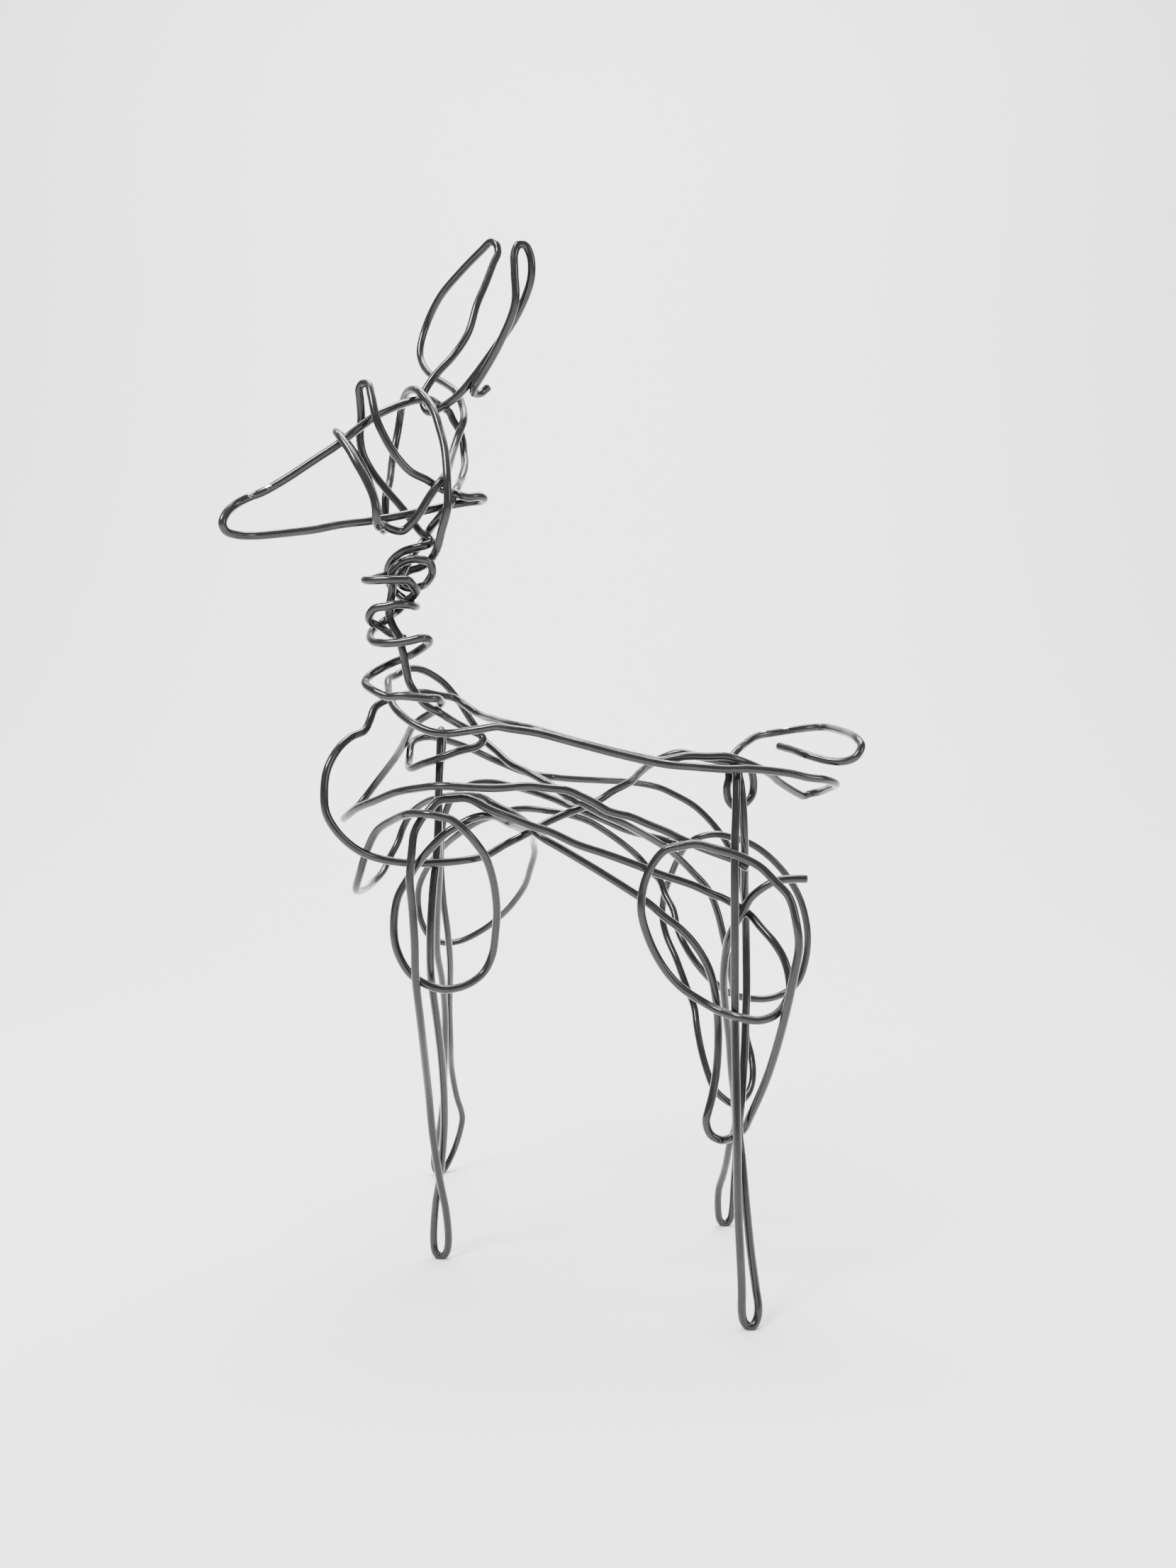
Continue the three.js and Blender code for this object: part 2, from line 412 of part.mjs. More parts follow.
function floorBlock(wasm) {
  const block = new THREE.BoxGeometry(FLOOR_BLOCK, FLOOR_BLOCK, FLOOR_BLOCK);
  block.translate(0, 0, FLOOR_LEVEL - FLOOR_BLOCK / 2);
  return toSolid(wasm, block);
}

function bentWire(route) {
  const centreLine = new WireCentreLine(route);
  const options = { steps: centreLine.sections, bevelEnabled: false, extrudePath: centreLine };
  return new THREE.ExtrudeGeometry(wireSection(), options);
}

const wasm = await Module();
wasm.setup();
const floor = floorBlock(wasm);
const blackCoating = { color: 0x121315, roughness: 0.3, metalness: 0.2 };

// Only a wire that reaches the floor is trimmed, where its feet press flat.
function wireMesh(name, route, standsOnFloor) {
  const whole = bentWire(route);
  const geometry = standsOnFloor ? toGeometry(toSolid(wasm, whole).subtract(floor)) : whole;
  const mesh = new THREE.Mesh(geometry, new THREE.MeshStandardMaterial(blackCoating));
  mesh.name = name;
  return mesh;
}

const deer = new THREE.Group();
deer.add(wireMesh('head_and_neck_wire', HEAD_AND_NECK_ROUTE, false));
deer.add(wireMesh('muzzle_and_legs_wire', MUZZLE_AND_LEGS_ROUTE, true));
deer.add(wireMesh('back_and_tail_wire', BACK_AND_TAIL_ROUTE, true));

// The origin lies on the floor under the middle of the deer.
const middle = new THREE.Box3().setFromObject(deer).getCenter(new THREE.Vector3());
deer.position.set(-middle.x, -middle.y, -FLOOR_LEVEL);
deer.updateMatrixWorld(true);

export default deer;
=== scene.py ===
# The looks of a standing deer bent from three lengths of black-coated wire. Metres, +Z up.
import math

import bpy
import bmesh
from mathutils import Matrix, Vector


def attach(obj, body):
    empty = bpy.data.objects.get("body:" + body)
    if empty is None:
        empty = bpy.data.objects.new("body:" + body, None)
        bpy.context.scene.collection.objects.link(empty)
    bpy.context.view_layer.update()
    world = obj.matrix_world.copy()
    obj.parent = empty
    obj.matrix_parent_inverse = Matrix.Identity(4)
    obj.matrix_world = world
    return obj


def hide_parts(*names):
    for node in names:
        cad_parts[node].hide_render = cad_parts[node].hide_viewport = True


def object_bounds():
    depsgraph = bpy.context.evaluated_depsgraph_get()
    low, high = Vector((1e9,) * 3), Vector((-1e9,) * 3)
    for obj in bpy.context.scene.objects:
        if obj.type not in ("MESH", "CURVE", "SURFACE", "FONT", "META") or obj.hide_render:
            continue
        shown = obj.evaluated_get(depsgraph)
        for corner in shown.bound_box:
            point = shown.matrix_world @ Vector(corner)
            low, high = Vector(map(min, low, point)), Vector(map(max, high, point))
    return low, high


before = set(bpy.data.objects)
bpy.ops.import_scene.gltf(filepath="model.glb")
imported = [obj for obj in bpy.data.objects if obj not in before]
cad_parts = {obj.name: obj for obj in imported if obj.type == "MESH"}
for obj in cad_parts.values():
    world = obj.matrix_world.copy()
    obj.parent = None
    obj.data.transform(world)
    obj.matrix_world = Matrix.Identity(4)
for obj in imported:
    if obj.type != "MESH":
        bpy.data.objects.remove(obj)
BOX_AT_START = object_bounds()

# ---- driving sizes -----------------------------------------------------------------------------
WIRE_RADIUS = 0.001
SIDES = 20                  # faces round the wire
STEP = 0.0009               # between two sections on a straight run
TURN = 0.13                 # radians between two sections in a bend
WALK = 24                   # fine walk along the spline for each bend point
FLOOR_LEVEL = 0.0037        # height of the floor in the lists of bend points below
FOOT_HEIGHT = FLOOR_LEVEL + 0.0007
END_BEVEL = 0.00022         # rounding of a cut end

# ---- finish ------------------------------------------------------------------------------------
COOL_BLACK = (0.0055, 0.0065, 0.0075)
WARM_BLACK = (0.0135, 0.0125, 0.0115)
BARE_METAL = (0.78, 0.77, 0.74)
ROUGHNESS = (0.14, 0.3)     # of the lacquer, from its smoothest to its dullest
SPECULAR = 0.32
COAT = 0.35
COAT_ROUGHNESS = 0.09
PEEL_STRENGTH = 0.16
PEEL_DEPTH = 0.00008
CHIP_EDGE = (0.48, 0.56)    # where the ragged mask turns from coating to bare metal
CHIP_FADE = 1.6             # a chip is fully bare out to about a third of its reach

# ---- routes ------------------------------------------------------------------------------------
# Each list is one stretch of a wire, as the bend points of its centre line in order.
# x runs to the tail, y to the far side and z up. They are the CAD model's own bend points.

NEAR_EAR = [
    (-0.025, -0.0135, 0.228), (-0.027, -0.0145, 0.226), (-0.0285, -0.0165, 0.2255),
    (-0.028, -0.0185, 0.2265), (-0.026, -0.02, 0.229), (-0.0215, -0.024, 0.235),
    (-0.0175, -0.028, 0.243), (-0.0175, -0.0295, 0.25), (-0.0175, -0.0295, 0.2545),
    (-0.0165, -0.0295, 0.2565), (-0.015, -0.029, 0.2565), (-0.014, -0.0285, 0.255),
    (-0.0135, -0.028, 0.2525), (-0.014, -0.0265, 0.2485), (-0.0175, -0.023, 0.242),
    (-0.0235, -0.019, 0.235), (-0.029, -0.017, 0.2285), (-0.0325, -0.016, 0.225),
]

FAR_EAR = [
    (-0.0365, -0.015, 0.2225), (-0.04, -0.014, 0.2215), (-0.0415, -0.013, 0.2235),
    (-0.0415, -0.0125, 0.2265), (-0.039, -0.012, 0.231), (-0.034, -0.012, 0.2365),
    (-0.0305, -0.01, 0.243), (-0.0285, -0.008, 0.251), (-0.0265, -0.006, 0.257),
    (-0.0245, -0.004, 0.2635), (-0.0235, -0.003, 0.2665), (-0.024, -0.0025, 0.269),
    (-0.0255, -0.0015, 0.27), (-0.028, 0, 0.2685), (-0.034, 0.004, 0.2645), (-0.04, 0.008, 0.2595),
    (-0.044, 0.01, 0.2525), (-0.0455, 0.009, 0.2455), (-0.0445, 0.007, 0.241), (-0.0415, 0.003, 0.2365),
    (-0.037, -0.002, 0.2325),
]

BACK_OF_HEAD = [
    (-0.034, -0.006, 0.229), (-0.032, -0.009, 0.224), (-0.0315, -0.012, 0.22), (-0.0325, -0.014, 0.216),
    (-0.0335, -0.018, 0.2105), (-0.034, -0.025, 0.204), (-0.0345, -0.0315, 0.2),
    (-0.037, -0.032, 0.1965), (-0.041, -0.0315, 0.1905), (-0.044, -0.031, 0.188),
    (-0.0465, -0.033, 0.188),
]

MUZZLE_RING = [
    (-0.048, -0.035, 0.1885), (-0.0485, -0.0375, 0.1875), (-0.0485, -0.04, 0.1885),
    (-0.0485, -0.041, 0.191), (-0.049, -0.041, 0.1935), (-0.051, -0.041, 0.198),
    (-0.053, -0.0405, 0.2015), (-0.055, -0.039, 0.205), (-0.0575, -0.037, 0.2085),
    (-0.059, -0.034, 0.2105), (-0.0585, -0.031, 0.2105), (-0.0565, -0.0285, 0.208),
    (-0.0545, -0.028, 0.205), (-0.053, -0.027, 0.2015), (-0.052, -0.026, 0.1985),
    (-0.051, -0.0255, 0.195), (-0.0505, -0.0255, 0.192), (-0.05, -0.024, 0.19), (-0.05, -0.022, 0.19),
    (-0.05, -0.0205, 0.192), (-0.05, -0.0195, 0.1955),
]

BROW = [
    (-0.05, -0.019, 0.199), (-0.0495, -0.016, 0.2035), (-0.0495, -0.012, 0.21),
    (-0.0485, -0.01, 0.2175), (-0.0475, -0.011, 0.2225), (-0.0465, -0.0135, 0.2245),
    (-0.045, -0.017, 0.2255), (-0.043, -0.0205, 0.225), (-0.041, -0.023, 0.2235),
    (-0.039, -0.0245, 0.221), (-0.037, -0.0265, 0.2175), (-0.0355, -0.0285, 0.213),
    (-0.034, -0.031, 0.2075), (-0.033, -0.034, 0.199), (-0.033, -0.034, 0.1925),
]

NAPE = [
    (-0.0345, -0.032, 0.188), (-0.036, -0.0295, 0.184), (-0.0385, -0.026, 0.1815),
    (-0.041, -0.024, 0.1805), (-0.0435, -0.023, 0.18), (-0.046, -0.0235, 0.1785),
    (-0.049, -0.027, 0.178),
]

NECK_COILS = [
    (-0.0515, -0.0305, 0.1765), (-0.0525, -0.033, 0.176), (-0.051, -0.035, 0.1755),
    (-0.047, -0.036, 0.1755), (-0.044, -0.036, 0.1755), (-0.042, -0.0355, 0.1755),
    (-0.041, -0.034, 0.1745), (-0.0405, -0.032, 0.1735), (-0.0415, -0.031, 0.1725),
    (-0.043, -0.0305, 0.1715), (-0.045, -0.028, 0.17), (-0.0475, -0.0245, 0.169),
    (-0.049, -0.0235, 0.168), (-0.051, -0.024, 0.1665), (-0.052, -0.026, 0.165),
    (-0.052, -0.029, 0.163), (-0.0505, -0.032, 0.1615), (-0.048, -0.034, 0.161),
    (-0.0445, -0.035, 0.161), (-0.041, -0.0355, 0.1615), (-0.039, -0.0355, 0.162),
    (-0.0375, -0.034, 0.162), (-0.0375, -0.032, 0.1615), (-0.0385, -0.03, 0.161),
    (-0.042, -0.026, 0.1595), (-0.045, -0.0235, 0.1585), (-0.0475, -0.0235, 0.1575),
    (-0.05, -0.025, 0.156), (-0.0525, -0.027, 0.154), (-0.053, -0.03, 0.152), (-0.0505, -0.033, 0.15),
    (-0.047, -0.0345, 0.1485), (-0.0435, -0.0355, 0.1485), (-0.038, -0.0355, 0.148),
    (-0.0355, -0.034, 0.148), (-0.035, -0.0295, 0.1475), (-0.036, -0.0245, 0.147),
    (-0.0375, -0.0215, 0.146), (-0.0395, -0.0195, 0.145),
]

CHEST_POINT = [
    (-0.0415, -0.018, 0.144), (-0.044, -0.0145, 0.1425), (-0.0465, -0.009, 0.1395),
    (-0.0505, -0.001, 0.135), (-0.0565, 0.005, 0.1285), (-0.061, 0.004, 0.1225), (-0.063, -0.001, 0.12),
    (-0.063, -0.006, 0.119), (-0.061, -0.011, 0.12), (-0.0575, -0.016, 0.122), (-0.052, -0.021, 0.124),
    (-0.0465, -0.025, 0.126),
]

NEAR_SIDE_LINE = [
    (-0.0405, -0.029, 0.127), (-0.035, -0.032, 0.1275), (-0.022, -0.0315, 0.127),
    (-0.014, -0.03, 0.1275), (-0.0095, -0.0295, 0.127), (-0.005, -0.029, 0.1265),
    (-0.0015, -0.0285, 0.125), (0.0015, -0.028, 0.1235), (0.005, -0.0275, 0.1215),
    (0.0105, -0.0265, 0.12), (0.014, -0.026, 0.1185), (0.019, -0.027, 0.1165), (0.022, -0.028, 0.115),
    (0.0265, -0.029, 0.113), (0.0305, -0.03, 0.1115), (0.0345, -0.0305, 0.11), (0.038, -0.031, 0.108),
]

NECK_THROAT = [
    (-0.0445, -0.022, 0.1635), (-0.046, -0.0225, 0.164), (-0.048, -0.025, 0.1645),
    (-0.0495, -0.0275, 0.1655), (-0.0505, -0.0295, 0.166), (-0.0515, -0.0315, 0.1665),
    (-0.0515, -0.033, 0.1675), (-0.05, -0.0345, 0.169), (-0.047, -0.035, 0.1695),
    (-0.0445, -0.035, 0.17), (-0.0425, -0.034, 0.17), (-0.041, -0.0315, 0.17),
    (-0.041, -0.0285, 0.1705), (-0.0425, -0.026, 0.1715), (-0.044, -0.0245, 0.1725),
    (-0.046, -0.0235, 0.174), (-0.0475, -0.0225, 0.1755), (-0.0485, -0.0225, 0.177),
    (-0.049, -0.0225, 0.1795), (-0.048, -0.0245, 0.1815), (-0.046, -0.0265, 0.183),
    (-0.0435, -0.028, 0.184), (-0.041, -0.0285, 0.1845), (-0.039, -0.0285, 0.185),
    (-0.0375, -0.027, 0.186), (-0.038, -0.025, 0.187), (-0.04, -0.0245, 0.1885),
    (-0.0425, -0.0235, 0.1915),
]

FOREHEAD_LOOP = [
    (-0.0455, -0.0235, 0.1955), (-0.049, -0.0235, 0.1995), (-0.0525, -0.024, 0.204),
    (-0.0545, -0.025, 0.208), (-0.055, -0.026, 0.212), (-0.0545, -0.027, 0.216),
    (-0.0545, -0.0285, 0.22), (-0.0545, -0.0295, 0.222), (-0.0535, -0.0305, 0.223),
    (-0.052, -0.0315, 0.2225), (-0.051, -0.033, 0.2195), (-0.0495, -0.0345, 0.2135),
    (-0.0475, -0.034, 0.209), (-0.045, -0.033, 0.205), (-0.042, -0.031, 0.202),
    (-0.0385, -0.0295, 0.2005), (-0.035, -0.0285, 0.1985), (-0.0315, -0.0305, 0.197),
    (-0.0285, -0.031, 0.196), (-0.026, -0.0295, 0.1965),
]

MUZZLE = [
    (-0.025, -0.0275, 0.1965), (-0.026, -0.025, 0.1965), (-0.0285, -0.024, 0.1965),
    (-0.0325, -0.0235, 0.196), (-0.039, -0.026, 0.194), (-0.0455, -0.0285, 0.192),
    (-0.052, -0.03, 0.1905), (-0.0585, -0.031, 0.1895), (-0.065, -0.032, 0.188),
    (-0.0715, -0.033, 0.187), (-0.0775, -0.035, 0.186), (-0.081, -0.038, 0.1855),
    (-0.083, -0.04, 0.186), (-0.0835, -0.041, 0.1875), (-0.083, -0.04, 0.19), (-0.0815, -0.038, 0.1925),
    (-0.079, -0.0365, 0.1945), (-0.076, -0.0355, 0.196), (-0.071, -0.035, 0.199),
    (-0.0645, -0.0345, 0.2035), (-0.0595, -0.034, 0.207), (-0.0565, -0.0335, 0.2095),
    (-0.0535, -0.032, 0.2125), (-0.0505, -0.03, 0.2155), (-0.0475, -0.0275, 0.218),
    (-0.0445, -0.024, 0.2205), (-0.0415, -0.019, 0.223), (-0.0395, -0.016, 0.224),
]

CHEEK_TO_KNOT = [
    (-0.0375, -0.011, 0.224), (-0.0355, -0.0095, 0.223), (-0.0345, -0.009, 0.221),
    (-0.0325, -0.009, 0.2175), (-0.0315, -0.011, 0.212), (-0.031, -0.014, 0.208),
    (-0.0315, -0.019, 0.203), (-0.032, -0.025, 0.199), (-0.033, -0.0275, 0.1955),
    (-0.0355, -0.0265, 0.1925), (-0.038, -0.024, 0.1905), (-0.0395, -0.0215, 0.189),
    (-0.0405, -0.021, 0.1875), (-0.0415, -0.023, 0.1855), (-0.0425, -0.0255, 0.183),
    (-0.0435, -0.028, 0.1805),
]

THROAT_LOOP = [
    (-0.0445, -0.0285, 0.1785), (-0.0455, -0.0275, 0.177), (-0.045, -0.0255, 0.176),
    (-0.043, -0.024, 0.1755), (-0.04, -0.025, 0.176), (-0.038, -0.028, 0.177), (-0.037, -0.03, 0.1785),
    (-0.0375, -0.031, 0.1805), (-0.0395, -0.032, 0.181), (-0.042, -0.032, 0.181),
    (-0.0445, -0.032, 0.18), (-0.046, -0.032, 0.1785), (-0.0465, -0.0315, 0.177),
    (-0.0465, -0.03, 0.1755), (-0.047, -0.029, 0.1725),
]

SPINE = [
    (-0.0475, -0.0285, 0.1705), (-0.0475, -0.028, 0.168), (-0.0465, -0.028, 0.1655),
    (-0.045, -0.0285, 0.163), (-0.0445, -0.0285, 0.1605), (-0.044, -0.028, 0.158),
    (-0.0435, -0.0275, 0.155), (-0.043, -0.027, 0.1525), (-0.0415, -0.027, 0.15),
    (-0.039, -0.0275, 0.147), (-0.0355, -0.0265, 0.145), (-0.0315, -0.021, 0.1425),
    (-0.0285, -0.018, 0.141), (-0.0265, -0.018, 0.14), (-0.026, -0.0185, 0.139),
    (-0.027, -0.0195, 0.1375),
]

SHOULDER_BLADE = [
    (-0.032, -0.0205, 0.136), (-0.0375, -0.02, 0.134), (-0.041, -0.018, 0.133), (-0.044, -0.015, 0.132),
    (-0.0455, -0.011, 0.1325), (-0.046, -0.006, 0.1355), (-0.046, -0.003, 0.1385), (-0.0445, 0, 0.14),
    (-0.042, 0.002, 0.1405), (-0.039, 0.005, 0.14), (-0.033, 0.012, 0.138), (-0.0255, 0.016, 0.1345),
    (-0.0165, 0.015, 0.131),
]

FAR_BACK_LINE = [
    (-0.0105, 0.014, 0.13), (-0.006, 0.018, 0.1295), (0.004, 0.025, 0.129), (0.0125, 0.029, 0.1285),
    (0.0205, 0.032, 0.127), (0.025, 0.032, 0.125), (0.031, 0.032, 0.1215), (0.0365, 0.031, 0.116),
    (0.04, 0.03, 0.111), (0.043, 0.029, 0.1045), (0.045, 0.028, 0.0935), (0.0455, 0.027, 0.0805),
    (0.045, 0.025, 0.0685), (0.0445, 0.021, 0.0575),
]

FAR_HOCK = [
    (0.0455, 0.018, 0.052), (0.0455, 0.015, 0.048), (0.0445, 0.012, 0.045), (0.0425, 0.009, 0.043),
    (0.039, 0.007, 0.042), (0.0365, 0.006, 0.0435), (0.034, 0.006, 0.046), (0.0325, 0.008, 0.0495),
    (0.031, 0.011, 0.055),
]

FAR_HAUNCH = [
    (0.03, 0.014, 0.061), (0.0295, 0.017, 0.066), (0.0275, 0.02, 0.0715), (0.025, 0.024, 0.0785),
    (0.0225, 0.028, 0.0845), (0.0215, 0.03, 0.0895), (0.022, 0.03, 0.096), (0.0235, 0.028, 0.101),
    (0.0255, 0.025, 0.1065), (0.0275, 0.021, 0.1105), (0.0305, 0.018, 0.113), (0.0355, 0.017, 0.114),
    (0.0405, 0.017, 0.113), (0.045, 0.017, 0.1115), (0.0495, 0.017, 0.1085), (0.054, 0.017, 0.104),
    (0.058, 0.017, 0.098), (0.06, 0.017, 0.0925), (0.061, 0.017, 0.086), (0.0605, 0.017, 0.0795),
    (0.0585, 0.017, 0.0735), (0.0555, 0.017, 0.0705), (0.0505, 0.017, 0.0685), (0.0445, 0.017, 0.0685),
    (0.0395, 0.016, 0.07), (0.034, 0.014, 0.074), (0.03, 0.013, 0.0785), (0.027, 0.015, 0.083),
    (0.025, 0.018, 0.0875), (0.024, 0.021, 0.0925), (0.022, 0.024, 0.0965), (0.0205, 0.026, 0.1005),
]

FAR_BELLY_LINE = [
    (0.018, 0.027, 0.103), (0.0145, 0.028, 0.107), (0.0105, 0.027, 0.1105), (0.005, 0.026, 0.1145),
    (0, 0.024, 0.1175), (-0.006, 0.022, 0.1195), (-0.012, 0.023, 0.1205), (-0.018, 0.025, 0.121),
    (-0.022, 0.027, 0.1205), (-0.0265, 0.029, 0.119),
]

FAR_SHOULDER = [
    (-0.032, 0.033, 0.117), (-0.0385, 0.038, 0.113), (-0.044, 0.044, 0.1085), (-0.049, 0.05, 0.1025),
    (-0.052, 0.053, 0.0965), (-0.0525, 0.054, 0.091), (-0.0515, 0.054, 0.0855), (-0.049, 0.054, 0.081),
    (-0.045, 0.054, 0.079), (-0.0395, 0.054, 0.0795), (-0.0325, 0.053, 0.083), (-0.028, 0.051, 0.0865),
    (-0.0235, 0.047, 0.091), (-0.019, 0.042, 0.0975), (-0.017, 0.036, 0.103), (-0.0155, 0.03, 0.108),
    (-0.0155, 0.022, 0.112), (-0.015, 0.008, 0.1145), (-0.0165, -0.006, 0.116),
    (-0.0185, -0.015, 0.1175), (-0.02, -0.0205, 0.1185),
]

NEAR_SHOULDER = [
    (-0.021, -0.024, 0.1195), (-0.0235, -0.0285, 0.1205), (-0.027, -0.031, 0.12),
    (-0.031, -0.0315, 0.118), (-0.034, -0.032, 0.116), (-0.0375, -0.032, 0.1125),
    (-0.0405, -0.03, 0.109), (-0.043, -0.028, 0.1055), (-0.0455, -0.028, 0.101),
    (-0.0465, -0.028, 0.095), (-0.046, -0.028, 0.089), (-0.0435, -0.0275, 0.0835),
    (-0.041, -0.027, 0.081), (-0.037, -0.0265, 0.079), (-0.0335, -0.026, 0.0785),
    (-0.029, -0.0245, 0.0795), (-0.0255, -0.0225, 0.082), (-0.0235, -0.022, 0.086),
    (-0.0225, -0.0235, 0.092), (-0.022, -0.026, 0.0975), (-0.0225, -0.0295, 0.1045),
    (-0.024, -0.033, 0.1105), (-0.026, -0.035, 0.114), (-0.0285, -0.036, 0.117),
    (-0.0315, -0.036, 0.1195), (-0.0345, -0.036, 0.1205), (-0.038, -0.0355, 0.121),
    (-0.042, -0.033, 0.121), (-0.0465, -0.028, 0.1195),
]

ELBOW = [
    (-0.0515, -0.023, 0.1165), (-0.0545, -0.02, 0.1115), (-0.0565, -0.018, 0.106),
    (-0.0585, -0.013, 0.1015), (-0.0585, -0.004, 0.1005), (-0.0585, 0.008, 0.101),
    (-0.0565, 0.015, 0.104), (-0.0555, 0.018, 0.107), (-0.0535, 0.021, 0.1115), (-0.052, 0.022, 0.116),
    (-0.0495, 0.021, 0.12), (-0.045, 0.017, 0.123), (-0.0395, 0.011, 0.1245), (-0.034, 0.004, 0.125),
    (-0.0275, -0.004, 0.1245), (-0.0235, -0.009, 0.1225),
]

NEAR_BELLY_LINE = [
    (-0.019, -0.0125, 0.1205), (-0.0155, -0.018, 0.1185), (-0.012, -0.023, 0.1155),
    (-0.005, -0.025, 0.1115), (0.0035, -0.027, 0.1065), (0.01, -0.0285, 0.1025),
    (0.0145, -0.029, 0.0995), (0.018, -0.029, 0.0965), (0.0225, -0.029, 0.093), (0.026, -0.029, 0.089),
    (0.029, -0.029, 0.0835), (0.0305, -0.029, 0.077), (0.031, -0.029, 0.0715), (0.031, -0.0295, 0.066),
    (0.0305, -0.03, 0.0595),
]

NEAR_HOCK = [
    (0.0295, -0.0305, 0.054), (0.0285, -0.031, 0.0505), (0.028, -0.031, 0.048), (0.029, -0.031, 0.045),
    (0.0315, -0.0305, 0.0435), (0.034, -0.029, 0.0435), (0.037, -0.029, 0.0455),
    (0.0385, -0.031, 0.0495), (0.0415, -0.034, 0.058),
]

NEAR_HAUNCH = [
    (0.0435, -0.037, 0.066), (0.0455, -0.04, 0.076), (0.047, -0.0415, 0.0845), (0.048, -0.042, 0.091),
    (0.0475, -0.042, 0.096), (0.046, -0.041, 0.102), (0.043, -0.04, 0.1055), (0.0395, -0.0385, 0.109),
    (0.0345, -0.038, 0.1115), (0.0295, -0.037, 0.113), (0.0255, -0.036, 0.114),
    (0.0215, -0.0355, 0.1135), (0.018, -0.035, 0.1125), (0.015, -0.0345, 0.109), (0.013, -0.034, 0.104),
    (0.0125, -0.034, 0.098), (0.0145, -0.033, 0.091), (0.018, -0.032, 0.0845), (0.022, -0.032, 0.08),
    (0.0265, -0.0325, 0.077), (0.0305, -0.0345, 0.075), (0.035, -0.0375, 0.074),
    (0.0395, -0.0385, 0.0735), (0.043, -0.038, 0.0745), (0.0455, -0.0365, 0.0765),
    (0.047, -0.0355, 0.0795), (0.047, -0.0345, 0.083), (0.046, -0.033, 0.087), (0.044, -0.0315, 0.0905),
    (0.0415, -0.029, 0.0935), (0.039, -0.0265, 0.0965),
]

NEAR_FLANK_LINE = [
    (0.036, -0.026, 0.0985), (0.0325, -0.0265, 0.1005), (0.03, -0.027, 0.1015), (0.0245, -0.028, 0.104),
    (0.017, -0.0285, 0.1065), (0.0105, -0.0285, 0.109), (0.0035, -0.028, 0.1115),
    (-0.0025, -0.028, 0.1135), (-0.009, -0.028, 0.1165), (-0.0135, -0.0285, 0.118),
    (-0.0185, -0.0295, 0.12), (-0.0235, -0.031, 0.122), (-0.0285, -0.0305, 0.1245),
    (-0.032, -0.03, 0.1245), (-0.0355, -0.03, 0.124), (-0.0375, -0.031, 0.122),
    (-0.0395, -0.0315, 0.1195),
]

NEAR_FRONT_LEG = [
    (-0.041, -0.032, 0.1165), (-0.0415, -0.0325, 0.1125), (-0.042, -0.0325, 0.1055),
    (-0.0415, -0.032, 0.099), (-0.041, -0.0315, 0.0905), (-0.041, -0.03, 0.082),
    (-0.0405, -0.0255, 0.071), (-0.0405, -0.017, 0.0585), (-0.0405, -0.01, 0.048),
    (-0.04, -0.007, 0.038), (-0.0385, -0.0045, 0.0255), (-0.037, -0.003, 0.0165),
    (-0.0365, -0.002, 0.0085), (-0.037, -0.002, 0.0055), (-0.038, -0.0015, FOOT_HEIGHT),
    (-0.039, -0.0015, FOOT_HEIGHT), (-0.04, -0.0015, 0.0055), (-0.0405, -0.001, 0.0085),
    (-0.04, -0.001, 0.0175), (-0.039, -0.001, 0.024), (-0.0375, -0.0035, 0.037),
    (-0.037, -0.007, 0.0465), (-0.037, -0.012, 0.0575), (-0.0375, -0.018, 0.0695),
    (-0.0385, -0.0215, 0.0815), (-0.0385, -0.022, 0.0925), (-0.038, -0.021, 0.103),
    (-0.0375, -0.02, 0.1085), (-0.037, -0.0195, 0.117), (-0.037, -0.018, 0.127),
    (-0.037, -0.016, 0.1345), (-0.037, -0.015, 0.1385),
]

FAR_FRONT_LEG = [
    (-0.037, -0.0145, 0.1405), (-0.037, -0.0135, 0.1415), (-0.037, -0.012, 0.1415),
    (-0.037, -0.011, 0.1405), (-0.037, -0.0105, 0.138), (-0.0375, -0.0095, 0.1345),
    (-0.0385, -0.007, 0.127), (-0.0395, 0.002, 0.117), (-0.0405, 0.011, 0.106), (-0.0425, 0.022, 0.091),
    (-0.0435, 0.03, 0.079), (-0.043, 0.036, 0.071), (-0.043, 0.044, 0.059), (-0.044, 0.051, 0.042),
    (-0.045, 0.056, 0.03), (-0.047, 0.0605, 0.018), (-0.049, 0.0645, 0.0095), (-0.049, 0.065, 0.0065),
    (-0.0485, 0.065, 0.005), (-0.0475, 0.0655, FOOT_HEIGHT), (-0.0465, 0.066, FOOT_HEIGHT),
    (-0.0455, 0.0665, 0.0055), (-0.043, 0.0685, 0.0105), (-0.041, 0.069, 0.017),
    (-0.0405, 0.069, 0.021), (-0.042, 0.066, 0.0285), (-0.043, 0.0615, 0.038), (-0.0425, 0.054, 0.048),
    (-0.042, 0.047, 0.0605), (-0.0405, 0.036, 0.075), (-0.0405, 0.03, 0.085), (-0.0415, 0.027, 0.0955),
    (-0.042, 0.026, 0.106), (-0.0415, 0.026, 0.116), (-0.0395, 0.025, 0.1225),
]

FAR_SIDE_LINE = [
    (-0.0365, 0.024, 0.126), (-0.0325, 0.022, 0.128), (-0.0275, 0.02, 0.1285), (-0.0215, 0.017, 0.1275),
    (-0.014, 0.012, 0.1255), (-0.0095, 0.009, 0.124), (-0.0045, 0.006, 0.122), (0.004, 0.004, 0.1185),
    (0.0095, 0.004, 0.116), (0.0145, 0.005, 0.1145), (0.021, 0.005, 0.113), (0.024, 0.004, 0.1125),
]

